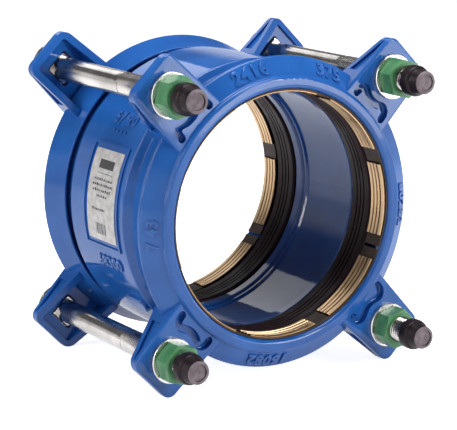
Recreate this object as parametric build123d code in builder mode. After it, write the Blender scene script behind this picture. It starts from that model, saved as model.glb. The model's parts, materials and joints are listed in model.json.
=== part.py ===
import os
from math import degrees, radians, sqrt, tan

from build123d import *

# A restrained coupling for plain-ended pipe: a cast sleeve, a cast gland ring at each end drawn
# together by four long bolts, and in each mouth a rubber seal and a ring of toothed brass grips.
# Millimetres and degrees. The bore axis is Y, the front mouth faces -Y and +Z is up. The origin is
# on the bore axis, at the middle of the front grips. Places that end in from_lip are measured from
# the innermost circle of a mouth's lip towards the middle of the coupling.

# Whole coupling
lip_to_lip = 151.0
grip_radius = 81.0
gland_travel = 4.0
wedge_angle = 14.0
ear_count = 4
first_ear_clock = 45.0

# Grips and the split carrier that spaces them
segment_count = 8
segment_start_from_lip = 1.2
segment_length = 14.8
segment_clearance = 0.3
tooth_count = 4
front_crest = 2.9
tooth_groove_width = 1.5
tooth_groove_floor = 0.6
tooth_groove_depth = 1.4
front_groove_depth = 2.2
tooth_end_chamfer = 0.4
spacer_arc = 7.6
split_arc = 11.0
split_gap = 2.0
end_gap = 0.6
carrier_rim_thickness = 0.8
carrier_lip_clearance = 0.4
carrier_recess = 1.2
carrier_gap = 0.2
front_split_clock = 112.0
rear_split_clock = 125.0

# Gland ring
lip_clearance = 2.3
lip_height = 1.9
lip_width = 8.6
lip_foot_from_lip = 0.9
lip_flank = 0.7
wedge_start_from_lip = 1.1
wedge_run_out = 2.5
chamber_clearance = 3.2
rim_width = 8.1
rim_from_lip = 9.2
rim_edge_width = 3.3
rim_edge_from_lip = 22.1
nose_length = 6.2
nose_width = 1.4
ring_roundings = [0, 2.8, 2.2, 0.8, 2.0, 3.0, 0.4, 0.3, 1.5, 0]

# Bolt ears of a gland ring
bolt_from_rim = 16.4
ear_tip_from_bolt = 20.2
ear_face_from_lip = 0.9
ear_root_inset = 1.5
ear_tip_half_width = 19.0
ear_root_half_width = 21.4
ear_tip_rounding = 6.5
ear_plate_thickness = 6.0
ear_wall = 5.0
ear_tip_wall = 4.0
ear_tip_rim_height = 1.0
ear_edge_rounding = 1.6
side_panel_depth = 2.0
side_panel_from_face = 4.5
side_panel_from_rim = 3.0
side_panel_border = 3.7
bolt_hole_clearance = 1.7
bolt_hole_rounding = 2.0
groove_width = 5.6
groove_depth = 4.4
groove_apex_from_bolt = 23.9
groove_corner_from_bolt = 17.1
groove_corner_offset = 13.2
groove_foot_offset = 14.0
groove_bends = [4.2, 14.0, 4.2]
groove_floor_rounding = 1.2

# Seal
seal_pipe_clearance = 0.7
seal_thickness = 5.3
seal_clearance = 0.3
seal_grip_gap = 0.6
seal_lead_length = 2.6
seal_lead_height = 2.0
seal_end_gap = 1.5
seal_wedge_clearance = 0.4
seal_flare = 1.2
seal_roundings = [0.8, 1.6, 0.8, 0.8, 0.4, 0.8, 0.4]
seal_groove_width = 1.2
seal_groove_depth = 1.0
seal_groove_pitch = 3.8
seal_groove_count = 3
seal_end_band = 6.6

# Centre sleeve
seat_length = 17.9
neck_wall = 5.7
neck_gap = 0.5
shoulder_gap = 2.7
shoulder_length = 4.5
drum_step = 5.8
land_clearance = 1.7
land_length = 7.3
waist_depth = 2.8
waist_length = 5.4
ledge_height = 1.4
ledge_start = 0.8
ledge_end = 4.0
sleeve_roundings = [0, 1.0, 1.0, 3.0, 1.6, 0, 0, 0.6, 0.5, 0.5, 0.6, 1.0]
panel_height = 1.1
panel_margin = 4.5
panel_border = 1.6
lug_clock = 233.0
lug_width = 13.0
lug_height = 2.6
lug_from_drum_edge = 1.5
lug_length = 25.0
lug_draft = 6.0
lug_edge_rounding = 1.2

# Label
label_from_drum_edge = 10.7
label_length = 37.0
label_clock = 276.6
label_arc = 35.2
label_thickness = 0.4
label_lift = 0.05

# Fasteners
bolt_diameter = 16.0
bolt_protrusion = 14.8
bolt_end_chamfer = 1.5
head_diameter = 33.0
head_height = 8.6
head_edge = 1.5
neck_oversize = 0.8
neck_length = 13.0
neck_corner_rounding = 1.8
washer_diameter = 30.0
washer_hole_clearance = 1.0
washer_thickness = 3.0
washer_edge_chamfer = 0.4
nut_width = 24.0
nut_height = 13.0
thread_clearance = 0.05
nut_corner_angle = 30.0
nut_face_share = 0.96
nut_countersink = 1.0
cap_length = 15.5
cap_collar_diameter = 20.6
cap_collar_length = 7.6
cap_step_diameter = 17.2
cap_end_diameter = 14.8
cap_recess_diameter = 10.8
cap_recess_depth = 0.9
cap_bore_depth = 5.4
cap_bolt_depth = 4.2
cap_edge_chamfer = 0.5
cap_collar_lead = 2.4
cap_collar_drop = 1.2
bolt_slack = {"top_left": 8.9, "top_right": 4.8, "bottom_left": 7.0, "bottom_right": 0.0}

# Radii that follow from the sizes above
carrier_radius = grip_radius + carrier_recess
lip_radius = grip_radius + lip_clearance
lip_outer_radius = lip_radius + lip_width
carrier_rim_radius = lip_radius - carrier_lip_clearance
seal_radius = grip_radius + seal_pipe_clearance
seated_radius = seal_radius + seal_thickness
seat_radius = seated_radius + seal_clearance
neck_radius = seat_radius + neck_wall
drum_radius = neck_radius + drum_step
land_radius = grip_radius + land_clearance
waist_radius = land_radius + waist_depth
chamber_radius = neck_radius + chamber_clearance
rim_edge_radius = chamber_radius + rim_edge_width
rim_radius = chamber_radius + rim_width
bolt_circle_radius = rim_radius + bolt_from_rim
ear_reach = bolt_circle_radius + ear_tip_from_bolt
neck_width = bolt_diameter + neck_oversize
bolt_hole_width = neck_width + bolt_hole_clearance

# Places along the bore that follow from the sizes above
segment_end_from_lip = segment_start_from_lip + segment_length
wedge_end_from_lip = segment_end_from_lip + wedge_run_out
neck_end_from_lip = wedge_end_from_lip + gland_travel + neck_gap
seat_end_from_lip = neck_end_from_lip + seat_length
seal_start_from_lip = segment_end_from_lip + seal_grip_gap
seal_end_from_lip = seat_end_from_lip - seal_end_gap
waist_start_from_lip = seat_end_from_lip + land_length
nose_from_lip = rim_edge_from_lip + nose_length
shoulder_from_lip = nose_from_lip + gland_travel + shoulder_gap
drum_from_lip = shoulder_from_lip + shoulder_length
grip_middle_from_lip = segment_start_from_lip + segment_length / 2
lip_y = -grip_middle_from_lip
middle = Plane.XZ.offset(-(lip_y + lip_to_lip / 2))
ear_face_y = lip_y + ear_face_from_lip
rear_ear_face_y = lip_y + lip_to_lip - ear_face_from_lip
rim_edge_y = lip_y + rim_edge_from_lip
washer_face_y = ear_face_y - washer_thickness
nut_face_y = washer_face_y - nut_height
bolt_length = rear_ear_face_y - nut_face_y + bolt_protrusion
ear_tip_y = ear_face_y + ear_plate_thickness + ear_tip_rim_height
ear_back_slope = (rim_edge_y - ear_tip_y) / (ear_reach - rim_edge_radius)
wedge_slope = tan(radians(wedge_angle))
ear_clock = [first_ear_clock + index * 360.0 / ear_count for index in range(ear_count)]
bolt_clock = dict(zip(("top_right", "bottom_right", "bottom_left", "top_left"), ear_clock))


def wedge_radius(from_lip):
    """Radius of a gland ring's inner cone, which is smallest at the lip."""
    return lip_radius + (from_lip - wedge_start_from_lip) * wedge_slope


def at_clock(shape, clock):
    """The shape turned from +X to a clock angle: 0 is the top and 90 is +X, seen from the front."""
    return shape.rotate(Axis.Y, clock - 90.0)


def sector(points, arc):
    """The solid that an outline of (radius, y) points sweeps through an arc, clockwise from +X."""
    with BuildPart() as swept:
        with BuildSketch(Plane.XY):
            with BuildLine():
                Polyline(*points, close=True)
            make_face()
        revolve(axis=Axis.Y, revolution_arc=arc)
    return swept.part


def arc_block(inner, outer, start, length, arc):
    """A plain block between two radii, centred on +X."""
    points = [(inner, start), (outer, start), (outer, start + length), (inner, start + length)]
    return sector(points, arc).rotate(Axis.Y, -arc / 2)


def save(shape, name):
    """Label a finished piece and write it as its own STEP file."""
    shape.label = name
    export_step(shape, f"parts/{name}.step")


def ear_outline(root, tip, inset, rounding):
    """An ear's outline on the ear face: straight sides that spread to the root, and a rounded tip."""
    spread = (ear_root_half_width - ear_tip_half_width) / (ear_reach - lip_outer_radius)

    def half_width(radius):
        return ear_tip_half_width + (ear_reach - radius) * spread - inset

    with BuildSketch(Plane.XZ.offset(-ear_face_y)) as outline:
        with BuildLine():
            Polyline(
                (root, -half_width(root)),
                (tip, -half_width(tip)),
                (tip, half_width(tip)),
                (root, half_width(root)),
                close=True,
            )
        make_face()
        fillet(outline.vertices().sort_by(Axis.X)[-2:], rounding)
    return outline.sketch


def gland_ear():
    """One hollow bolt ear of the front ring, pointing along +X, open towards the sleeve."""
    plate_root = (lip_radius + lip_outer_radius) / 2
    wall_root = chamber_radius + ear_root_inset
    pocket_tip = ear_reach - ear_tip_wall
    with BuildPart() as ear:
        with BuildSketch(Plane.XZ.offset(-ear_face_y)):
            add(ear_outline(plate_root, ear_reach, 0.0, ear_tip_rounding))
        extrude(amount=-ear_plate_thickness)
        with BuildSketch(Plane.XZ.offset(-ear_face_y)):
            add(ear_outline(wall_root, ear_reach, 0.0, ear_tip_rounding))
            pocket = ear_outline(wall_root, pocket_tip, ear_wall, ear_tip_rounding - ear_tip_wall)
            add(pocket, mode=Mode.SUBTRACT)
        extrude(amount=ear_face_y - rim_edge_y)
        with BuildSketch(Plane.XY):
            with BuildLine():
                Polyline(
                    (ear_reach, ear_tip_y),
                    (rim_edge_radius, rim_edge_y),
                    (ear_reach, rim_edge_y),
                    close=True,
                )
            make_face()
        extrude(amount=ear_root_half_width, both=True, mode=Mode.SUBTRACT)
        outer_face = ear.faces().sort_by(Axis.Y)[0]
        fillet(outer_face.edges().sort_by(Axis.X)[1:], ear_edge_rounding)
        add(side_panels(), mode=Mode.SUBTRACT)
    return ear.part


def side_panels():
    """The shallow three-cornered panels in both sides of an ear along +X, as one cutter."""
    root = rim_radius + side_panel_from_rim
    front_y = ear_face_y + side_panel_from_face
    back_y = ear_tip_y + (ear_reach - root) * ear_back_slope - side_panel_border
    tip = root + (back_y - front_y) / ear_back_slope
    with BuildPart() as panels:
        with BuildSketch(Plane.XZ.offset(-front_y)):
            add(ear_outline(root, ear_reach, -side_panel_depth, ear_tip_rounding))
            add(ear_outline(root, ear_reach, side_panel_depth, ear_tip_rounding), mode=Mode.SUBTRACT)
        extrude(amount=front_y - back_y)
        with BuildSketch(Plane.XY):
            with BuildLine():
                Polyline((root, front_y), (tip, front_y), (root, back_y), close=True)
            make_face()
        extrude(amount=2 * ear_root_half_width, both=True, mode=Mode.INTERSECT)
    return panels.part


def ear_openings():
    """The square bolt hole and the hooked groove of an ear that points along +X, as one cutter."""
    foot = lip_outer_radius + groove_width / 2
    corner = bolt_circle_radius - groove_corner_from_bolt
    with BuildPart() as openings:
        with BuildSketch(Plane.XZ.offset(-ear_face_y)):
            with BuildLine(mode=Mode.PRIVATE) as centre_line:
                FilletPolyline(
                    (foot, -groove_foot_offset),
                    (corner, -groove_corner_offset),
                    (bolt_circle_radius - groove_apex_from_bolt, 0),
                    (corner, groove_corner_offset),
                    (foot, groove_foot_offset),
                    radius=groove_bends,
                )
            make_face(centre_line.wire().offset_2d(groove_width / 2).edges())
        extrude(amount=-groove_depth)
        fillet(openings.faces().sort_by(Axis.Y)[-1].edges(), groove_floor_rounding)
        with BuildSketch(Plane.XZ.offset(-ear_face_y)):
            with Locations((bolt_circle_radius, 0)):
                RectangleRounded(bolt_hole_width, bolt_hole_width, bolt_hole_rounding)
        extrude(amount=-ear_plate_thickness)
    return openings.part


def gland_ring():
    """The front gland ring: one casting with a lip, a wedging inner cone and hollow bolt ears."""
    with BuildPart() as ring:
        with BuildSketch(Plane.XY):
            with BuildLine():
                FilletPolyline(
                    (lip_radius, lip_y + wedge_start_from_lip),
                    (lip_radius, lip_y - lip_height),
                    (lip_outer_radius - lip_flank, lip_y - lip_height),
                    (lip_outer_radius, lip_y + lip_foot_from_lip),
                    (rim_radius, lip_y + rim_from_lip),
                    (rim_edge_radius, lip_y + rim_edge_from_lip),
                    (chamber_radius + nose_width, lip_y + nose_from_lip),
                    (chamber_radius, lip_y + nose_from_lip),
                    (chamber_radius, lip_y + wedge_end_from_lip),
                    (wedge_radius(wedge_end_from_lip), lip_y + wedge_end_from_lip),
                    radius=ring_roundings,
                    close=True,
                )
            make_face()
        revolve(axis=Axis.Y)
        ear = gland_ear()
        openings = ear_openings()
        for clock in ear_clock:
            add(at_clock(ear, clock))
            add(at_clock(openings, clock), mode=Mode.SUBTRACT)
    return ring.part


def sleeve():
    """The centre sleeve: a drum with a neck and a seal seat at each end, lands and a wide waist."""
    panel_start = lip_y + drum_from_lip + label_from_drum_edge - panel_margin
    panel_length = label_length + 2 * panel_margin
    panel_arc = label_arc + degrees(2 * panel_margin / drum_radius)
    border_arc = degrees(2 * panel_border / drum_radius)
    waist_y = lip_y + waist_start_from_lip
    panel_radius = drum_radius + panel_height
    with BuildPart() as body:
        with BuildSketch(Plane.XY):
            with BuildLine():
                FilletPolyline(
                    (seat_radius, lip_y + seat_end_from_lip),
                    (seat_radius, lip_y + neck_end_from_lip),
                    (neck_radius, lip_y + neck_end_from_lip),
                    (neck_radius, lip_y + shoulder_from_lip),
                    (drum_radius, lip_y + drum_from_lip),
                    (drum_radius, middle.origin.Y),
                    (waist_radius, middle.origin.Y),
                    (waist_radius, waist_y + waist_length),
                    (land_radius + ledge_height, waist_y + ledge_end),
                    (land_radius + ledge_height, waist_y + ledge_start),
                    (land_radius, waist_y),
                    (land_radius, lip_y + seat_end_from_lip),
                    radius=sleeve_roundings,
                    close=True,
                )
            make_face()
        revolve(axis=Axis.Y)
        mirror(about=middle)
        border = arc_block(drum_radius - panel_height, panel_radius, panel_start, panel_length, panel_arc)
        field = arc_block(
            drum_radius,
            panel_radius + panel_height,
            panel_start + panel_border,
            panel_length - 2 * panel_border,
            panel_arc - border_arc,
        )
        add(at_clock(border - field, label_clock))
        add(at_clock(sleeve_lug(), lug_clock))
    return body.part


def sleeve_lug():
    """The flat-topped cast lug on the drum, pointing along +X, with a round end."""
    with BuildPart() as lug:
        with BuildSketch(Plane.YZ.offset(drum_radius - lug_height)):
            with Locations((lip_y + drum_from_lip + lug_from_drum_edge + lug_length / 2, 0)):
                SlotOverall(lug_length, lug_width)
        extrude(amount=2 * lug_height, taper=lug_draft)
        fillet(lug.faces().sort_by(Axis.X)[-1].edges(), lug_edge_rounding)
    return lug.part


def seal():
    """The front rubber seal, with a lead-in and with grooves round the middle of its pipe face."""
    start = lip_y + seal_start_from_lip
    end = lip_y + seal_end_from_lip
    seat_y = lip_y + neck_end_from_lip
    front_radius = wedge_radius(seal_start_from_lip - gland_travel) - seal_wedge_clearance
    with BuildPart() as ring:
        with BuildSketch(Plane.XY):
            with BuildLine():
                FilletPolyline(
                    (seal_radius, start + seal_lead_length),
                    (seal_radius, end),
                    (seated_radius, end),
                    (seated_radius, seat_y + seal_flare),
                    (front_radius, seat_y - seal_clearance),
                    (front_radius, start),
                    (seal_radius + seal_lead_height, start),
                    radius=seal_roundings,
                    close=True,
                )
            make_face()
            for index in range(seal_groove_count):
                with Locations((seal_radius, end - seal_end_band - index * seal_groove_pitch)):
                    Rectangle(2 * seal_groove_depth, seal_groove_width, mode=Mode.SUBTRACT)
        revolve(axis=Axis.Y)
    return ring.part


def grip_outline():
    """A grip segment's (radius, y) outline: a wedge outside, flat crests parted by grooves inside."""
    start = lip_y + segment_start_from_lip
    end = lip_y + segment_end_from_lip
    crests = segment_length - 2 * tooth_end_chamfer - (tooth_count - 1) * tooth_groove_width
    other_crest = (crests - front_crest) / (tooth_count - 1)
    flank = (tooth_groove_width - tooth_groove_floor) / 2
    place = start + tooth_end_chamfer
    points = [(grip_radius + tooth_end_chamfer, start), (grip_radius, place)]
    for index in range(tooth_count - 1):
        place += front_crest if index == 0 else other_crest
        floor = grip_radius + (front_groove_depth if index == 0 else tooth_groove_depth)
        points.append((grip_radius, place))
        points.append((floor, place + flank))
        points.append((floor, place + flank + tooth_groove_floor))
        place += tooth_groove_width
        points.append((grip_radius, place))
    points.append((grip_radius, end - tooth_end_chamfer))
    points.append((grip_radius + tooth_end_chamfer, end))
    points.append((wedge_radius(segment_end_from_lip) - segment_clearance, end))
    points.append((wedge_radius(segment_start_from_lip) - segment_clearance, start))
    return points


def grip_arcs():
    """Start and arc of each grip segment, clockwise from the middle of the split."""
    pitch = 360.0 / segment_count
    gap = degrees(end_gap / grip_radius)
    arcs = []
    for index in range(segment_count):
        first = split_arc if index == 0 else spacer_arc
        last = split_arc if index == segment_count - 1 else spacer_arc
        start = index * pitch + first / 2 + gap
        arcs.append((start, (index + 1) * pitch - last / 2 - gap - start))
    return arcs


def grip_carrier():
    """The front split ring of plastic that spaces the segments, with its split at +X."""
    rim_start = lip_y + segment_start_from_lip - carrier_gap - carrier_rim_thickness
    end_radius = wedge_radius(segment_end_from_lip - gland_travel) - segment_clearance
    block_end = lip_y + segment_end_from_lip
    block_outline = [
        (carrier_radius, rim_start),
        (carrier_rim_radius, rim_start),
        (carrier_rim_radius, block_end - (end_radius - carrier_rim_radius) / wedge_slope),
        (end_radius, block_end),
        (carrier_radius, block_end),
    ]
    with BuildPart() as carrier:
        add(arc_block(carrier_radius, carrier_rim_radius, rim_start, carrier_rim_thickness, 360.0))
        for index in range(segment_count):
            arc = split_arc if index == 0 else spacer_arc
            start = index * 360.0 / segment_count - arc / 2
            add(sector(block_outline, arc).rotate(Axis.Y, start))
        with BuildSketch(Plane.XZ.offset(-rim_start)):
            with Locations((grip_radius, 0)):
                Rectangle(2 * (chamber_radius - grip_radius), split_gap)
        extrude(amount=rim_start - block_end, mode=Mode.SUBTRACT)
    return carrier.part


def along_bolt(points):
    """The solid that an outline of (radius, y) points turns about the bolt axis on +X."""
    axis = Axis((bolt_circle_radius, 0, 0), (0, 1, 0))
    with BuildPart() as turned:
        with BuildSketch(Plane.XY):
            with BuildLine():
                Polyline(*[(bolt_circle_radius + radius, y) for radius, y in points], close=True)
            make_face()
        revolve(axis=axis)
    return turned.part


def bolt(slack):
    """A round-headed bolt with a square neck, on +X, its head the slack away from the rear ear."""
    radius = bolt_diameter / 2
    head_y = rear_ear_face_y + slack
    end_y = head_y - bolt_length
    crown = head_height - head_edge
    dome_radius = ((head_diameter / 2) ** 2 + crown**2) / (2 * crown)
    quarter = head_diameter / 4
    quarter_y = head_y + head_height - dome_radius + sqrt(dome_radius**2 - quarter**2)
    centre = (bolt_circle_radius, head_y)
    rim = (bolt_circle_radius + 2 * quarter, head_y)
    edge = (bolt_circle_radius + 2 * quarter, head_y + head_edge)
    top = (bolt_circle_radius, head_y + head_height)
    with BuildPart() as shaft:
        add(
            along_bolt(
                [
                    (0, end_y),
                    (radius - bolt_end_chamfer, end_y),
                    (radius, end_y + bolt_end_chamfer),
                    (radius, head_y),
                    (0, head_y),
                ]
            )
        )
        with BuildSketch(Plane.XZ.offset(-head_y)):
            with Locations((bolt_circle_radius, 0)):
                RectangleRounded(neck_width, neck_width, neck_corner_rounding)
        extrude(amount=neck_length)
        with BuildSketch(Plane.XY):
            with BuildLine():
                Polyline(top, centre, rim, edge)
                ThreePointArc(edge, (bolt_circle_radius + quarter, quarter_y), top)
            make_face()
        revolve(axis=Axis((bolt_circle_radius, 0, 0), (0, 1, 0)))
    return shaft.part


def washer():
    """A flat washer on +X, against the front ear."""
    with BuildPart() as disc:
        with BuildSketch(Plane.XZ.offset(-ear_face_y)):
            with Locations((bolt_circle_radius, 0)):
                Circle(washer_diameter / 2)
                Circle((bolt_diameter + washer_hole_clearance) / 2, mode=Mode.SUBTRACT)
        extrude(amount=washer_thickness)
        chamfer(disc.faces().sort_by(Axis.Y)[0].outer_wire().edges(), washer_edge_chamfer)
    return disc.part


def nut():
    """A hexagon nut on +X, against the washer, with its corners turned off at both ends."""
    corner_radius = nut_width / sqrt(3)
    face_radius = nut_width / 2 * nut_face_share
    turned = (corner_radius - face_radius) * tan(radians(nut_corner_angle))
    with BuildPart() as hexagon:
        with BuildSketch(Plane.XZ.offset(-washer_face_y)):
            with Locations((bolt_circle_radius, 0)):
                RegularPolygon(nut_width / 2, 6, major_radius=False)
        extrude(amount=nut_height)
        add(
            along_bolt(
                [
                    (0, nut_face_y),
                    (face_radius, nut_face_y),
                    (corner_radius, nut_face_y + turned),
                    (corner_radius, washer_face_y - turned),
                    (face_radius, washer_face_y),
                    (0, washer_face_y),
                ]
            ),
            mode=Mode.INTERSECT,
        )
        bore = bolt_diameter / 2 + thread_clearance
        add(
            along_bolt(
                [
                    (0, nut_face_y),
                    (bore + nut_countersink, nut_face_y),
                    (bore, nut_face_y + nut_countersink),
                    (bore, washer_face_y - nut_countersink),
                    (bore + nut_countersink, washer_face_y),
                    (0, washer_face_y),
                ]
            ),
            mode=Mode.SUBTRACT,
        )
    return hexagon.part


def cap(slack):
    """A plastic thread cap on +X, pushed over the end of the bolt that has this slack."""
    open_y = rear_ear_face_y + slack - bolt_length + cap_bolt_depth
    end_y = open_y - cap_length
    step_y = open_y - cap_collar_length
    bore = bolt_diameter / 2 + thread_clearance
    collar = cap_collar_diameter / 2
    end = cap_end_diameter / 2
    recess = cap_recess_diameter / 2
    return along_bolt(
        [
            (0, open_y - cap_bore_depth),
            (bore, open_y - cap_bore_depth),
            (bore, open_y),
            (collar - cap_edge_chamfer, open_y),
            (collar, open_y - cap_edge_chamfer),
            (collar, step_y + cap_collar_lead),
            (collar - cap_collar_drop, step_y),
            (cap_step_diameter / 2, step_y),
            (end, end_y + cap_edge_chamfer),
            (end - cap_edge_chamfer, end_y),
            (recess, end_y),
            (recess, end_y + cap_recess_depth),
            (0, end_y + cap_recess_depth),
        ]
    )


def label():
    """The printed label on the drum, as a thin curved plate."""
    inner = drum_radius + label_lift
    start = lip_y + drum_from_lip + label_from_drum_edge
    return arc_block(inner, inner + label_thickness, start, label_length, label_arc)


os.makedirs("parts", exist_ok=True)
front_ring = gland_ring()
save(front_ring, "front_gland_ring")
save(mirror(front_ring, about=middle), "rear_gland_ring")
save(sleeve(), "centre_sleeve")
save(at_clock(label(), label_clock), "label_plate")
for side, split_clock in (("front", front_split_clock), ("rear", rear_split_clock)):
    pieces = {"seal": seal(), "grip_carrier": at_clock(grip_carrier(), split_clock)}
    for index, (start, arc) in enumerate(grip_arcs()):
        segment = at_clock(sector(grip_outline(), arc), split_clock + start)
        pieces[f"grip_segment_{index + 1}"] = segment
    for name, piece in pieces.items():
        save(piece if side == "front" else mirror(piece, about=middle), f"{side}_{name}")
for corner, clock in bolt_clock.items():
    save(at_clock(bolt(bolt_slack[corner]), clock), f"bolt_{corner}")
    save(at_clock(washer(), clock), f"washer_{corner}")
    save(at_clock(nut(), clock), f"nut_{corner}")
    save(at_clock(cap(bolt_slack[corner]), clock), f"cap_{corner}")
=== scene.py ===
"""The looks of a restrained pipe coupling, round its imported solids. Metres, bore along Y, +Z up."""

import json
import math
import random

import bmesh
import bpy
from mathutils import Matrix, Vector


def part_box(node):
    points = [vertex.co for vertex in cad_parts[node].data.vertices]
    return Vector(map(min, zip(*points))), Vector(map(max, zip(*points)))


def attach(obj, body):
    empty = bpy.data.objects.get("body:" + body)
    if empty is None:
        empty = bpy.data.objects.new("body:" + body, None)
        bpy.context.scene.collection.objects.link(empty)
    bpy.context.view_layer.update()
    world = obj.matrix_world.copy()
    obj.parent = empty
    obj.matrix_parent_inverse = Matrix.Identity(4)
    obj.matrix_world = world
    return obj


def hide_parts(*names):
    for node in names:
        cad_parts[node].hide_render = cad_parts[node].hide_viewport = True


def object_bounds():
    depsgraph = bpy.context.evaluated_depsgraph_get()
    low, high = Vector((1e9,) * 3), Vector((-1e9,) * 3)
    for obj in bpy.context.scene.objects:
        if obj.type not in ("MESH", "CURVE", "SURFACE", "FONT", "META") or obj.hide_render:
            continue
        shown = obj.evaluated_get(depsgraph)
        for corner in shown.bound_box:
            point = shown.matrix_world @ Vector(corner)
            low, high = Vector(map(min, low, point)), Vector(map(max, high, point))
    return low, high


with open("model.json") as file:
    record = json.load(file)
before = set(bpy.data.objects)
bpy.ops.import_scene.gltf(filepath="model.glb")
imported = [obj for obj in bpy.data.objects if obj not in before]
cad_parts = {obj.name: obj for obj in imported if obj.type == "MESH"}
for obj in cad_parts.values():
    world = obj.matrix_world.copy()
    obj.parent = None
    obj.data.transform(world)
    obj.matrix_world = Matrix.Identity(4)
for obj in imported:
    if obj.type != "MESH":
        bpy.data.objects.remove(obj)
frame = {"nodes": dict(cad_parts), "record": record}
cad_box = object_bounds()

MM = 0.001
CORNERS = ("top_left", "top_right", "bottom_left", "bottom_right")

# The camera, measured from the photograph. Its aim is given from the front lip's centre.
camera_yaw = math.radians(31.91)
camera_pitch = math.radians(11.92)
camera_roll = math.radians(0.21)
camera_distance = 1269.4 * MM
camera_aim_right = -36.56 * MM
camera_aim_up = 0.28 * MM
focal_pixels = 1946.8
image_width = 457
sensor_width = 36.0

# The stage: a floor, a white backdrop and a dim ceiling that only shows in the gloss.
# Heights in the surround are sines of the angle above the horizon.
floor_reach = 6.0
floor_glow = 0.85
backdrop_height = 0.17
backdrop_fade = 0.12
ceiling_strength = 0.16
soft_strength = 0.06

# Lamps: name, place from the part's middle, width, height, power in watts
soft_boxes = (
    ("left", (-1.5, 0.1, 0.7), 0.6, 1.2, 14),
    ("top", (0.1, -0.1, 1.5), 0.9, 0.9, 24),
    ("front", (0.8, -1.4, 0.5), 0.5, 0.5, 15),
    ("right", (1.4, -0.3, 0.2), 0.3, 1.0, 4),
)

# Panels that show in the gloss alone, in the same order of values
reflectors = (
    ("left_strip", (-1.1, -0.85, 0.35), 0.07, 1.3, 4),
    ("right_panel", (0.55, -0.85, -0.02), 0.34, 0.26, 1.4),
    ("back_panel", (0.12, 1.25, 0.83), 0.7, 0.4, 1.9),
)

# Sizes of the castings that the relief sits on, as the solids have them
lip_height = 1.9 * MM
lip_outer_radius = 91.9 * MM
lip_foot_from_lip = 0.9 * MM
rim_radius = 104.3 * MM
rim_from_lip = 9.2 * MM
drum_radius = 98.8 * MM
lip_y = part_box("front_gland_ring")[0].y + lip_height

# Grips: the radius of their crests, and how far behind it the painted shade in the tooth grooves begins
# and reaches full strength
grip_radius = 81.0 * MM
crest_depth = 0.15 * MM
groove_depth = 0.9 * MM

# Cast numerals: name, text, clock in degrees, size, and on the sleeve also the place from the lip
relief_height = 1.1 * MM
relief_flat_share = 0.7
relief_outset_share = 0.02
numeral_spacing = 1.1
numerals_from_lip_foot = 2.9 * MM
ring_numerals = (
    ("relief_top_first", "2416", 345.5, 12.6 * MM),
    ("relief_top_second", "375", 21.5, 12.6 * MM),
    ("relief_right", "80253", 92.0, 11.0 * MM),
    ("relief_bottom", "16082", 186.0, 11.6 * MM),
    ("relief_left", "7 43", 268.0, 10.6 * MM),
)
sleeve_numerals = (
    ("relief_above_label", "57 20", 305.5, 11.4 * MM, 69.0 * MM),
    ("relief_above_label_small", "- - - -", 301.2, 7.0 * MM, 69.0 * MM),
    ("relief_below_label", "68300", 248.0, 11.4 * MM, 66.0 * MM),
)

# Thread of the bolts, and the points (below the shank's radius, past the thread) of its run-out
thread_pitch = 2.0 * MM
thread_radius = 8.0 * MM
thread_root_radius = 6.77 * MM
thread_length = 78.0 * MM
thread_lead = 1.5 * MM
thread_steps = 40
run_out_overlap = 0.3 * MM
run_out = ((0.5 * MM, 0.0), (0.3 * MM, 1.8 * MM), (0.1 * MM, 3.2 * MM), (0.0, 5.0 * MM))

# Head and square neck of the bolts. The head is 0.05 mm lower than its solid, as room over the ear.
head_height = 8.55 * MM
head_edge = 1.5 * MM
head_edge_straight_share = 0.7
head_rounding = 0.6 * MM
dome_edge_angle = 0.6
dome_steps = 14
head_steps = 72
shank_steps = 48
neck_length = 13.0 * MM
neck_overlap = 0.1 * MM
neck_half_width = 8.4 * MM
neck_rounding = 1.8 * MM
neck_lead = 0.8 * MM
neck_lead_share = 0.93

# Thread caps: a collar over the bolt, a step, a tapered end and its dished face
collar_radius = 10.3 * MM
collar_length = 7.6 * MM
step_radius = 8.6 * MM
end_radius = 7.4 * MM
dish_radius = 5.4 * MM
dish_depth = 0.9 * MM
# End faces that take the lighter painted reflection: this close behind the dish, and facing forward at
# least this steeply
gate_mark_reach = 0.4 * MM
end_face_slope = -0.4
cap_steps = 64
cap_bore_radius = 8.05 * MM
cap_bore_depth = 5.4 * MM

# The label and its ink
label_clock = 276.6
label_thickness = 0.45 * MM
ink_thickness = 0.05 * MM
ink_row_height = 1.2 * MM

# Points of a mesh that are closer than this become one
merge_distance = 0.002 * MM


def new_material(name, roughness, metallic=0.0, specular=0.5):
    """A material, its node tree and its shader, with the shader's plain values set."""
    made = bpy.data.materials.new(name)
    made.use_nodes = True
    shader = made.node_tree.nodes["Principled BSDF"]
    shader.inputs["Roughness"].default_value = roughness
    shader.inputs["Metallic"].default_value = metallic
    shader.inputs["Specular IOR Level"].default_value = specular
    return made, made.node_tree, shader


def place(tree, stretch=(1, 1, 1)):
    """Object coordinates, stretched, as a socket."""
    coordinates = tree.nodes.new("ShaderNodeTexCoord")
    mapping = tree.nodes.new("ShaderNodeMapping")
    mapping.inputs["Scale"].default_value = stretch
    tree.links.new(coordinates.outputs["Object"], mapping.inputs["Vector"])
    return mapping.outputs["Vector"]


def noise(tree, vector, scale, detail=3.0, rough=0.5):
    """A noise value in 0 to 1 as a socket."""
    node = tree.nodes.new("ShaderNodeTexNoise")
    node.inputs["Scale"].default_value = scale
    node.inputs["Detail"].default_value = detail
    node.inputs["Roughness"].default_value = rough
    tree.links.new(vector, node.inputs["Vector"])
    return node.outputs["Fac"]


def spread(tree, value, low, high, start=0.35, end=0.65):
    """The value stretched over start to end and turned into low to high."""
    node = tree.nodes.new("ShaderNodeMapRange")
    node.inputs["From Min"].default_value = start
    node.inputs["From Max"].default_value = end
    node.inputs["To Min"].default_value = low
    node.inputs["To Max"].default_value = high
    tree.links.new(value, node.inputs["Value"])
    return node.outputs["Result"]


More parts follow.
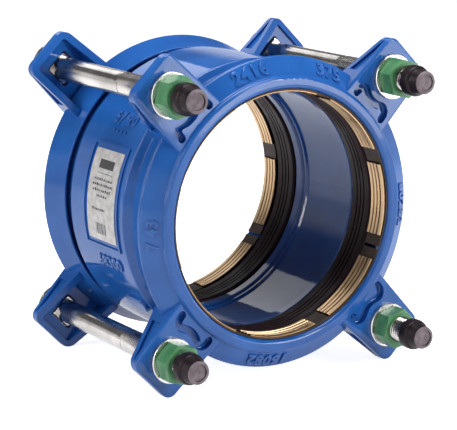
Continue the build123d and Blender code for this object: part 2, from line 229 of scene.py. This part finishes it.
def blend_colours(tree, value, first, second, start=0.35, end=0.65):
    """A colour between first and second, by the value."""
    ramp = tree.nodes.new("ShaderNodeValToRGB")
    ramp.color_ramp.elements[0].position = start
    ramp.color_ramp.elements[1].position = end
    ramp.color_ramp.elements[0].color = (*first, 1)
    ramp.color_ramp.elements[1].color = (*second, 1)
    tree.links.new(value, ramp.inputs["Fac"])
    return ramp.outputs["Color"]


def tint(tree, shader, value, first, second):
    """Blends the shader's base colour from first to second by the value."""
    tree.links.new(blend_colours(tree, value, first, second), shader.inputs["Base Color"])


def roughen(tree, shader, value, low, high):
    """Spreads the shader's roughness from low to high by the value."""
    tree.links.new(spread(tree, value, low, high), shader.inputs["Roughness"])


def bump(tree, shader, layers):
    """Chained bumps from (height socket, strength, distance) layers onto the shader."""
    normal = None
    for height, strength, distance in layers:
        node = tree.nodes.new("ShaderNodeBump")
        node.inputs["Strength"].default_value = strength
        node.inputs["Distance"].default_value = distance
        tree.links.new(height, node.inputs["Height"])
        if normal is not None:
            tree.links.new(normal, node.inputs["Normal"])
        normal = node.outputs["Normal"]
    tree.links.new(normal, shader.inputs["Normal"])


def epoxy_material():
    """Glossy blue epoxy over a casting: orange peel, slow waves of the cast skin, faint colour drift."""
    made, tree, shader = new_material("epoxy_coating", 0.35, specular=0.0)
    shader.inputs["Coat Weight"].default_value = 0.65
    shader.inputs["Coat Roughness"].default_value = 0.06
    vector = place(tree)
    tint(tree, shader, noise(tree, vector, 22, 4), (0.012, 0.086, 0.33), (0.021, 0.122, 0.43))
    roughen(tree, shader, noise(tree, vector, 70, 5), 0.28, 0.42)
    bump(
        tree,
        shader,
        [
            (noise(tree, vector, 38, 2), 0.22, 0.9 * MM),
            (noise(tree, vector, 420, 2), 0.08, 0.12 * MM),
        ],
    )
    tree.links.new(shader.inputs["Normal"].links[0].from_socket, shader.inputs["Coat Normal"])
    return made


def rubber_material():
    """Satin black rubber with a brown cast, talc-like haze and a fine skin."""
    made, tree, shader = new_material("seal_rubber", 0.45, specular=0.08)
    vector = place(tree)
    haze = noise(tree, vector, 60, 6)
    tint(tree, shader, haze, (0.013, 0.004, 0.007), (0.026, 0.009, 0.015))
    roughen(tree, shader, haze, 0.34, 0.52)
    bump(tree, shader, [(noise(tree, vector, 900, 3), 0.12, 0.15 * MM)])
    return made


def brass_material():
    """Machined brass with turning lines round the bore, a slight tarnish and painted shade in the tooth
    grooves.
    """
    made, tree, shader = new_material("grip_brass", 0.3, metallic=1.0)
    lines = noise(tree, place(tree, (60, 5200, 60)), 1.0, 2)
    tarnish = noise(tree, place(tree), 55, 5)
    from_axis = tree.nodes.new("ShaderNodeVectorMath")
    from_axis.operation = "LENGTH"
    tree.links.new(place(tree, (1, 0, 1)), from_axis.inputs[0])
    crest = grip_radius + crest_depth
    groove = grip_radius + groove_depth
    # Painted shade: the tooth grooves turn dark brown by their distance from the bore's axis, standing in
    # for the shade between the teeth
    groove_shade = tree.nodes.new("ShaderNodeMixRGB")
    tree.links.new(spread(tree, from_axis.outputs["Value"], 0.0, 1.0, crest, groove), groove_shade.inputs["Fac"])
    clean = blend_colours(tree, tarnish, (0.42, 0.275, 0.15), (0.59, 0.42, 0.255))
    tree.links.new(clean, groove_shade.inputs["Color1"])
    groove_shade.inputs["Color2"].default_value = (0.10, 0.045, 0.018, 1)
    tree.links.new(groove_shade.outputs["Color"], shader.inputs["Base Color"])
    roughen(tree, shader, tarnish, 0.24, 0.42)
    bump(tree, shader, [(lines, 0.3, 0.06 * MM)])
    return made


def carrier_material():
    """Dark moulded plastic of the split ring that spaces the grips."""
    made, tree, shader = new_material("carrier_plastic", 0.5, specular=0.2)
    vector = place(tree)
    tint(tree, shader, noise(tree, vector, 80, 4), (0.036, 0.022, 0.016), (0.070, 0.045, 0.034))
    bump(tree, shader, [(noise(tree, vector, 1200, 2), 0.15, 0.1 * MM)])
    return made


def bolt_material():
    """Stainless steel drawn along the bolt: long fine scratches and a warm grey tone."""
    made, tree, shader = new_material("bolt_steel", 0.3, metallic=1.0)
    streak = noise(tree, place(tree, (1500, 12, 1500)), 1.0, 2)
    cloud = noise(tree, place(tree), 38, 5)
    tint(tree, shader, cloud, (0.36, 0.34, 0.325), (0.56, 0.535, 0.515))
    roughen(tree, shader, streak, 0.16, 0.27)
    bump(tree, shader, [(streak, 0.12, 0.05 * MM)])
    return made


def washer_material():
    """Bright stainless steel with a fine turned face."""
    made, tree, shader = new_material("washer_steel", 0.25, metallic=1.0)
    cloud = noise(tree, place(tree), 160, 4)
    tint(tree, shader, cloud, (0.50, 0.48, 0.475), (0.63, 0.61, 0.60))
    roughen(tree, shader, cloud, 0.2, 0.34)
    bump(tree, shader, [(noise(tree, place(tree), 1500, 2), 0.12, 0.05 * MM)])
    return made


def nut_material():
    """Green low-friction coating, thin enough to show the forged steel's unevenness."""
    made, tree, shader = new_material("nut_coating", 0.36)
    vector = place(tree)
    cloud = noise(tree, vector, 130, 5)
    tint(tree, shader, cloud, (0.045, 0.180, 0.070), (0.085, 0.265, 0.110))
    roughen(tree, shader, cloud, 0.3, 0.48)
    bump(tree, shader, [(noise(tree, vector, 700, 3), 0.2, 0.12 * MM)])
    return made


def cap_material(name, first, second, roughness):
    """Soft black plastic, with its own tone and roughness."""
    made, tree, shader = new_material(name, roughness, specular=0.14)
    vector = place(tree)
    cloud = noise(tree, vector, 220, 4)
    tint(tree, shader, cloud, first, second)
    roughen(tree, shader, cloud, roughness - 0.06, roughness + 0.08)
    bump(tree, shader, [(noise(tree, vector, 1600, 2), 0.2, 0.06 * MM)])
    return made


def label_material():
    """Off-white film with a faint mottle, where it follows the cast skin below."""
    made, tree, shader = new_material("label_film", 0.42)
    vector = place(tree)
    tint(tree, shader, noise(tree, vector, 260, 4), (0.40, 0.385, 0.375), (0.55, 0.53, 0.525))
    bump(tree, shader, [(noise(tree, vector, 160, 3), 0.2, 0.15 * MM)])
    return made


def ink_material():
    """Black print with a slight unevenness."""
    made, tree, shader = new_material("label_ink", 0.5)
    speckle = noise(tree, place(tree), 900, 2)
    tint(tree, shader, speckle, (0.010, 0.010, 0.012), (0.035, 0.034, 0.036))
    return made


materials = {
    "epoxy_coating": epoxy_material(),
    "seal_rubber": rubber_material(),
    "grip_brass": brass_material(),
    "carrier_plastic": carrier_material(),
    "bolt_steel": bolt_material(),
    "washer_steel": washer_material(),
    "nut_coating": nut_material(),
    "cap_plastic": cap_material("cap_plastic", (0.010, 0.006, 0.008), (0.020, 0.012, 0.016), 0.36),
    # A lighter copy of the cap plastic for the end faces: a painted reflection of the white surround, not
    # a different plastic
    "cap_end_painted_reflection": cap_material("cap_end_painted_reflection", (0.140, 0.112, 0.125), (0.230, 0.190, 0.207), 0.45),
    "label_film": label_material(),
    "label_ink": ink_material(),
}


def dress_nodes():
    """Gives each solid the material of its slot."""
    slots = {part["node"]: part["material_slot"] for part in frame["record"]["subparts"]}
    for name, node in frame["nodes"].items():
        node.data.materials.clear()
        node.data.materials.append(materials[slots[name]])


def add_piece(name, vertices, faces, body, slot, replaces=(), smooth_angle=35.0, finish=None):
    """A mesh piece that rides on a body, with smooth faces parted at sharp edges."""
    mesh = bpy.data.meshes.new(name)
    mesh.from_pydata([tuple(point) for point in vertices], [], faces)
    clean = bmesh.new()
    clean.from_mesh(mesh)
    bmesh.ops.remove_doubles(clean, verts=clean.verts, dist=merge_distance)
    bmesh.ops.dissolve_degenerate(clean, edges=clean.edges, dist=merge_distance)
    bmesh.ops.recalc_face_normals(clean, faces=clean.faces)
    clean.to_mesh(mesh)
    clean.free()
    mesh.shade_smooth()
    mesh.set_sharp_from_angle(angle=math.radians(smooth_angle))
    piece = bpy.data.objects.new(name, mesh)
    bpy.context.scene.collection.objects.link(piece)
    mesh.materials.append(materials[finish or slot])
    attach(piece, body)
    if replaces:
        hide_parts(*replaces)
    return piece


def lathe(profile, centre, steps):
    """Vertices and faces of (radius, y) points turned about a line along Y through centre."""
    vertices = []
    faces = []
    for index in range(steps):
        angle = 2 * math.pi * index / steps
        for radius, y in profile:
            vertices.append((centre.x + radius * math.cos(angle), y, centre.z + radius * math.sin(angle)))
    count = len(profile)
    for index in range(steps):
        following = (index + 1) % steps
        for row in range(count - 1):
            a = index * count + row
            b = following * count + row
            faces.append((a, a + 1, b + 1, b))
    return vertices, faces


def arc_points(centre, radius, start, end, count):
    """Points (radius, y) on an arc, with its angles in degrees from the outward direction towards +Y."""
    points = []
    for index in range(count + 1):
        angle = math.radians(start + (end - start) * index / count)
        points.append((centre[0] + radius * math.cos(angle), centre[1] + radius * math.sin(angle)))
    return points


def thread_mesh(centre, start, end, lead):
    """A helical thread along Y from its leading end to its run-out, closed over the leading end."""
    root_flat = thread_pitch / 4
    flank = thread_pitch * 5 / 16
    crest_flat = thread_pitch / 8
    shape = (
        (0.0, thread_root_radius),
        (root_flat, thread_root_radius),
        (root_flat + flank, thread_radius),
        (root_flat + flank + crest_flat, thread_radius),
    )
    turns = int((end - start) / thread_pitch) + 2
    total = turns * thread_steps
    vertices = []
    faces = []
    for step in range(total + 1):
        angle = 2 * math.pi * step / thread_steps
        along = start + (step / thread_steps - 1) * thread_pitch
        for offset, radius in shape:
            y = min(max(along + offset, start), end)
            radius = min(radius, thread_radius - lead + (y - start))
            vertices.append((centre.x + radius * math.cos(angle), y, centre.z + radius * math.sin(angle)))
    count = len(shape)
    for step in range(total):
        for row in range(count):
            a = step * count + row
            b = a + count
            if row < count - 1:
                faces.append((a, a + 1, b + 1, b))
            elif step + thread_steps < total:
                c = (step + thread_steps) * count
                faces.append((a, c, c + count, b))
    return vertices, faces


def joined(parts):
    """One list of vertices and one of faces from several (vertices, faces) parts."""
    vertices = []
    faces = []
    for points, loops in parts:
        offset = len(vertices)
        vertices += points
        faces += [tuple(index + offset for index in loop) for loop in loops]
    return vertices, faces


def middle_line(low, high):
    """The line along Y through the middle of a box."""
    return Vector(((low.x + high.x) / 2, 0, (low.z + high.z) / 2))


def domed_head(centre, radius, under_head, top):
    """A low round head, from its flat underside over a short edge to its dome."""
    dome_height = head_height - head_edge
    dome_radius = (radius**2 + dome_height**2) / (2 * dome_height)
    open_angle = math.degrees(math.asin(radius / dome_radius))
    profile = [
        (thread_radius, under_head),
        (radius - head_rounding, under_head),
        (radius, under_head + head_rounding),
        (radius, under_head + head_edge * head_edge_straight_share),
    ]
    start = 90 - open_angle + dome_edge_angle
    profile += arc_points((0, top - dome_radius), dome_radius, start, 90, dome_steps)
    return lathe(profile, centre, head_steps)


def square_neck(centre, start, end):
    """The rounded square neck under a bolt's head, turned to lie along the ear."""
    straight = neck_half_width - neck_rounding
    turn = math.radians(45)
    outline = []
    for corner in range(4):
        middle = math.radians(45 + 90 * corner)
        cx = straight * math.sqrt(2) * math.cos(middle)
        cz = straight * math.sqrt(2) * math.sin(middle)
        for step in range(5):
            angle = middle + math.radians(-45 + 22.5 * step)
            outline.append((cx + neck_rounding * math.cos(angle), cz + neck_rounding * math.sin(angle)))
    vertices = []
    for y, scale in ((start, neck_lead_share), (start + neck_lead, 1.0), (end, 1.0)):
        for x, z in outline:
            across = x * math.cos(turn) - z * math.sin(turn)
            up = x * math.sin(turn) + z * math.cos(turn)
            vertices.append((centre.x + scale * across, y, centre.z + scale * up))
    count = len(outline)
    faces = [tuple(range(count))]
    for row in range(2):
        for index in range(count):
            following = (index + 1) % count
            a = row * count
            faces.append((a + index, a + following, a + count + following, a + count + index))
    faces.append(tuple(range(2 * count, 3 * count)))
    return vertices, faces


def build_bolt(corner):
    """A round-headed bolt with a square neck, a drawn shank and a rolled thread."""
    node = f"bolt_{corner}"
    low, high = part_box(node)
    centre = middle_line(low, high)
    under_head = high.y - head_height
    shank_start = low.y + thread_length
    end_face = lathe([(0.0, low.y), (thread_radius - thread_lead, low.y)], centre, thread_steps)
    profile = [(thread_root_radius, shank_start - run_out_overlap)]
    profile += [(thread_radius - below, shank_start + past) for below, past in run_out]
    profile.append((thread_radius, under_head))
    vertices, faces = joined(
        (
            domed_head(centre, (high.x - low.x) / 2, under_head, high.y),
            end_face,
            lathe(profile, centre, shank_steps),
            thread_mesh(centre, low.y, shank_start, thread_lead),
            square_neck(centre, under_head - neck_length, under_head + neck_overlap),
        )
    )
    bodies = frame["record"]["behaviour"]["bodies"]
    carrier = next(name for name, members in bodies.items() if node in members)
    return add_piece(f"{node}_looks", vertices, faces, carrier, "bolt_steel", (node,), smooth_angle=28)


def near(radius, y, *steps):
    """Profile points at steps of (radius, y), in millimetres, from a point."""
    return [(radius + out * MM, y + along * MM) for out, along in steps]


def build_cap(corner):
    """A moulded thread cap: rounded collar, tapered end and a dished end face with a gate mark, the face
    in a lighter painted reflection.
    """
    node = f"cap_{corner}"
    low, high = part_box(node)
    centre = middle_line(low, high)
    step_y = high.y - collar_length
    inside = high.y - cap_bore_depth
    dish_y = low.y + dish_depth
    profile = [(0, inside), (cap_bore_radius, inside), (cap_bore_radius, high.y)]
    profile += near(collar_radius, high.y, (-0.5, 0), (0, -0.5))
    profile += near(collar_radius, step_y, (0, 2.4), (-0.25, 1.5), (-0.75, 0.6), (-1.3, 0))
    profile += near(step_radius, step_y, (0.15, -0.1), (-0.1, -0.5))
    profile += near(end_radius, low.y, (0.25, 1.0), (0, 0.45), (-0.45, 0.1), (-0.8, 0))
    face = near(end_radius, low.y, (-0.8, 0))
    face += near(dish_radius, low.y, (0.15, 0), (0, 0.15))
    face += near(dish_radius, dish_y, (-0.15, 0))
    face += near(0, dish_y, (1.1, 0), (0.9, 0.3), (0.45, 0.35), (0, 0.1))
    vertices, faces = joined((lathe(profile, centre, cap_steps), lathe(face, centre, cap_steps)))
    piece = add_piece(f"{node}_looks", vertices, faces, node, "cap_plastic", (node,), smooth_angle=40)
    # Painted reflection: the forward-facing end face takes the lighter copy of the plastic
    piece.data.materials.append(materials["cap_end_painted_reflection"])
    for polygon in piece.data.polygons:
        if polygon.center.y < dish_y + gate_mark_reach and polygon.normal.y < end_face_slope:
            polygon.material_index = 1
    return piece


def on_front_cone(clock, across, along, height):
    """A point on the front casting's face cone: clock in degrees, along from the lip's foot outwards."""
    slant = Vector((rim_radius - lip_outer_radius, rim_from_lip - lip_foot_from_lip)).normalized()
    radius = lip_outer_radius + along * slant.x + height * slant.y
    y = lip_y + lip_foot_from_lip + along * slant.y - height * slant.x
    angle = math.radians(clock) + across / radius
    return Vector((radius * math.sin(angle), y, radius * math.cos(angle)))


def on_drum(clock, from_lip, reading, up, height):
    """A point on the drum: reading runs towards the front, up runs round it with the clock."""
    radius = drum_radius + height
    angle = math.radians(clock) + up / drum_radius
    return Vector((radius * math.sin(angle), lip_y + from_lip - reading, radius * math.cos(angle)))


def raised_numerals(name, text, size, to_surface, body):
    """Cast numerals with soft edges, laid on a surface by to_surface(across, up, height)."""
    curve = bpy.data.curves.new(name, "FONT")
    curve.body = text
    curve.size = size
    curve.align_x = "CENTER"
    curve.space_character = numeral_spacing
    curve.resolution_u = 4
    curve.offset = relief_outset_share * size
    curve.extrude = relief_height * relief_flat_share
    curve.bevel_depth = relief_height * (1 - relief_flat_share)
    curve.bevel_resolution = 1
    holder = bpy.data.objects.new(name, curve)
    bpy.context.scene.collection.objects.link(holder)
    bpy.context.view_layer.update()
    mesh = bpy.data.meshes.new_from_object(holder.evaluated_get(bpy.context.evaluated_depsgraph_get()))
    bpy.data.objects.remove(holder)
    vertices = [to_surface(vertex.co.x, vertex.co.y, vertex.co.z) for vertex in mesh.vertices]
    faces = [tuple(polygon.vertices) for polygon in mesh.polygons]
    return add_piece(name, vertices, faces, body, "epoxy_coating", smooth_angle=50)


def build_relief():
    """Plain cast numerals where the real castings carry their raised marks."""
    for name, text, clock, size in ring_numerals:

        def to_cone(across, up, height, clock=clock):
            return on_front_cone(clock, across, up + numerals_from_lip_foot, height)

        raised_numerals(name, text, size, to_cone, "front_gland")
    for name, text, clock, size, from_lip in sleeve_numerals:

        def to_drum(across, up, height, clock=clock, from_lip=from_lip):
            return on_drum(clock, from_lip, across, up, height)

        raised_numerals(name, text, size, to_drum, "sleeve")


def label_patch(left, right, low, high):
    """Vertices and faces of a thin printed patch on the label, in metres from its middle."""
    start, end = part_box("label_plate")
    from_lip = (start.y + end.y) / 2 - lip_y
    rows = max(1, math.ceil((high - low) / ink_row_height))
    vertices = []
    for index in range(rows + 1):
        up = low + (high - low) * index / rows
        for reading in (left, right):
            for height in (label_thickness, label_thickness + ink_thickness):
                vertices.append(on_drum(label_clock, from_lip, reading, up, height))
    faces = [(0, 1, 3, 2), tuple(4 * rows + index for index in (0, 2, 3, 1))]
    for index in range(rows):
        a = 4 * index
        b = a + 4
        faces += [(a + 1, b + 1, b + 3, a + 3), (a, a + 2, b + 2, b)]
        faces += [(a, b, b + 1, a + 1), (a + 2, a + 3, b + 3, b + 2)]
    return vertices, faces


def dashes(draw, up, left, right):
    """Patches of uneven length and height that stand for one line of small print, in millimetres."""
    patches = []
    reading = left
    while reading < right:
        width = draw.uniform(0.9, 2.4)
        patches.append((reading, min(reading + width, right), up, up + draw.uniform(1.2, 1.9)))
        reading += width + draw.uniform(0.5, 1.1)
    return patches


def bars(draw, left, right, low, high):
    """Upright patches of uneven width between left and right, in millimetres."""
    patches = []
    reading = left
    while reading < right:
        width = draw.uniform(0.4, 1.1)
        patches.append((reading, reading + width, low, high))
        reading += width + draw.uniform(0.4, 1.0)
    return patches


def build_label_print():
    """Generic print on the label: a dark band, a rule, rows of unreadable dashes and a bar pattern.

    Patches are (left, right, low, high) and lines (up, left, right), in millimetres from its middle.
    """
    draw = random.Random(7)
    rule = (-9.5, 10.5, 14.2, 14.6)
    band = (-9.0, 10.0, 17.6, 23.6)
    lines = (
        (9.6, -11.5, 12.5),
        (6.0, -13.0, 13.5),
        (2.4, -12.0, 12.0),
        (-1.2, -6.0, 7.5),
        (-10.2, -11.0, 6.0),
    )
    patches = [rule, band]
    for up, left, right in lines:
        patches += dashes(draw, up, left, right)
    patches += bars(draw, -7.0, 6.0, -26.0, -18.5)
    vertices, faces = joined(label_patch(*(side * MM for side in patch)) for patch in patches)
    add_piece("label_print", vertices, faces, "sleeve", "label_film", finish="label_ink")


def camera_axes():
    """Right, up and forward of the camera, from its yaw, pitch and roll."""
    forward = Vector(
        (
            math.sin(camera_yaw) * math.cos(camera_pitch),
            math.cos(camera_yaw) * math.cos(camera_pitch),
            -math.sin(camera_pitch),
        )
    )
    level = Vector((math.cos(camera_yaw), -math.sin(camera_yaw), 0))
    upright = level.cross(forward)
    right = level * math.cos(camera_roll) + upright * math.sin(camera_roll)
    up = upright * math.cos(camera_roll) - level * math.sin(camera_roll)
    return right, up, forward


def build_camera():
    """The photograph's camera."""
    right, up, forward = camera_axes()
    lip_centre = Vector((0, lip_y, 0))
    aim = lip_centre + right * camera_aim_right + up * camera_aim_up
    data = bpy.data.cameras.new("camera")
    data.sensor_width = sensor_width
    data.lens = focal_pixels * sensor_width / image_width
    data.clip_end = 20
    camera = bpy.data.objects.new("camera", data)
    bpy.context.scene.collection.objects.link(camera)
    turned = Matrix((right, up, -forward)).transposed()
    camera.matrix_world = Matrix.Translation(aim - forward * camera_distance) @ turned.to_4x4()
    bpy.context.scene.camera = camera


def area_light(name, place_at, aim, width, height, power):
    """A soft box that points at aim."""
    data = bpy.data.lights.new(name, "AREA")
    data.shape = "RECTANGLE"
    data.size = width
    data.size_y = height
    data.energy = power
    lamp = bpy.data.objects.new(name, data)
    bpy.context.scene.collection.objects.link(lamp)
    lamp.location = place_at
    lamp.rotation_mode = "QUATERNION"
    lamp.rotation_quaternion = (aim - place_at).to_track_quat("-Z", "Y")
    lamp.visible_camera = False
    return lamp


def build_lights():
    """Soft boxes that light the object, and panels that only show in its gloss."""
    middle = (cad_box[0] + cad_box[1]) / 2
    for name, offset, width, height, power in soft_boxes:
        area_light(name, middle + Vector(offset), middle, width, height, power)
    for name, offset, width, height, power in reflectors:
        panel = area_light(name, middle + Vector(offset), middle, width, height, power)
        panel.visible_diffuse = False


def background_ray(tree):
    """1 for the rays that show the background itself and 0 for those that only light the object."""
    path = tree.nodes.new("ShaderNodeLightPath")
    shown = path.outputs["Is Camera Ray"]
    for kind in ("Is Glossy Ray", "Is Transmission Ray"):
        either = tree.nodes.new("ShaderNodeMath")
        either.operation = "MAXIMUM"
        tree.links.new(shown, either.inputs[0])
        tree.links.new(path.outputs[kind], either.inputs[1])
        shown = either.outputs["Value"]
    return shown


def floor_material():
    """A pale matt floor that glows towards the camera, so that it meets the white surround."""
    made, tree, shader = new_material("floor", 0.8, specular=0.1)
    shader.inputs["Base Color"].default_value = (0.86, 0.86, 0.87, 1)
    shader.inputs["Emission Color"].default_value = (1, 1, 1, 1)
    glow = tree.nodes.new("ShaderNodeMath")
    glow.operation = "MULTIPLY"
    glow.inputs[1].default_value = floor_glow
    tree.links.new(background_ray(tree), glow.inputs[0])
    tree.links.new(glow.outputs["Value"], shader.inputs["Emission Strength"])
    return made


def build_floor():
    """The floor under the ears."""
    ground = cad_box[0].z
    sides = ((-1, -1), (1, -1), (1, 1), (-1, 1))
    mesh = bpy.data.meshes.new("floor")
    mesh.from_pydata([(x * floor_reach, y * floor_reach, ground) for x, y in sides], [], [(0, 1, 2, 3)])
    mesh.materials.append(floor_material())
    floor = bpy.data.objects.new("floor", mesh)
    bpy.context.scene.collection.objects.link(floor)


def build_surround():
    """A white backdrop, in the gloss below a dim ceiling, and a faint even light on the object."""
    world = bpy.data.worlds.new("surround")
    bpy.context.scene.world = world
    world.use_nodes = True
    tree = world.node_tree
    tree.nodes.clear()
    output = tree.nodes.new("ShaderNodeOutputWorld")
    white = tree.nodes.new("ShaderNodeBackground")
    white.inputs["Color"].default_value = (1, 1, 1, 1)
    direction = tree.nodes.new("ShaderNodeTexCoord")
    split = tree.nodes.new("ShaderNodeSeparateXYZ")
    tree.links.new(direction.outputs["Generated"], split.inputs["Vector"])
    fade_end = backdrop_height + backdrop_fade
    ceiling = spread(tree, split.outputs["Z"], 1.0, ceiling_strength, backdrop_height, fade_end)
    shown = tree.nodes.new("ShaderNodeMath")
    shown.operation = "MAXIMUM"
    tree.links.new(ceiling, shown.inputs[0])
    tree.links.new(tree.nodes.new("ShaderNodeLightPath").outputs["Is Camera Ray"], shown.inputs[1])
    tree.links.new(shown.outputs["Value"], white.inputs["Strength"])
    soft = tree.nodes.new("ShaderNodeBackground")
    soft.inputs["Color"].default_value = (0.93, 0.95, 1.0, 1)
    soft.inputs["Strength"].default_value = soft_strength
    mix = tree.nodes.new("ShaderNodeMixShader")
    tree.links.new(background_ray(tree), mix.inputs["Fac"])
    tree.links.new(soft.outputs["Background"], mix.inputs[1])
    tree.links.new(white.outputs["Background"], mix.inputs[2])
    tree.links.new(mix.outputs["Shader"], output.inputs["Surface"])


dress_nodes()
for corner_name in CORNERS:
    build_bolt(corner_name)
    build_cap(corner_name)
build_relief()
build_label_print()
build_camera()
build_floor()
build_surround()
build_lights()

bpy.context.scene.view_settings.view_transform = "Standard"
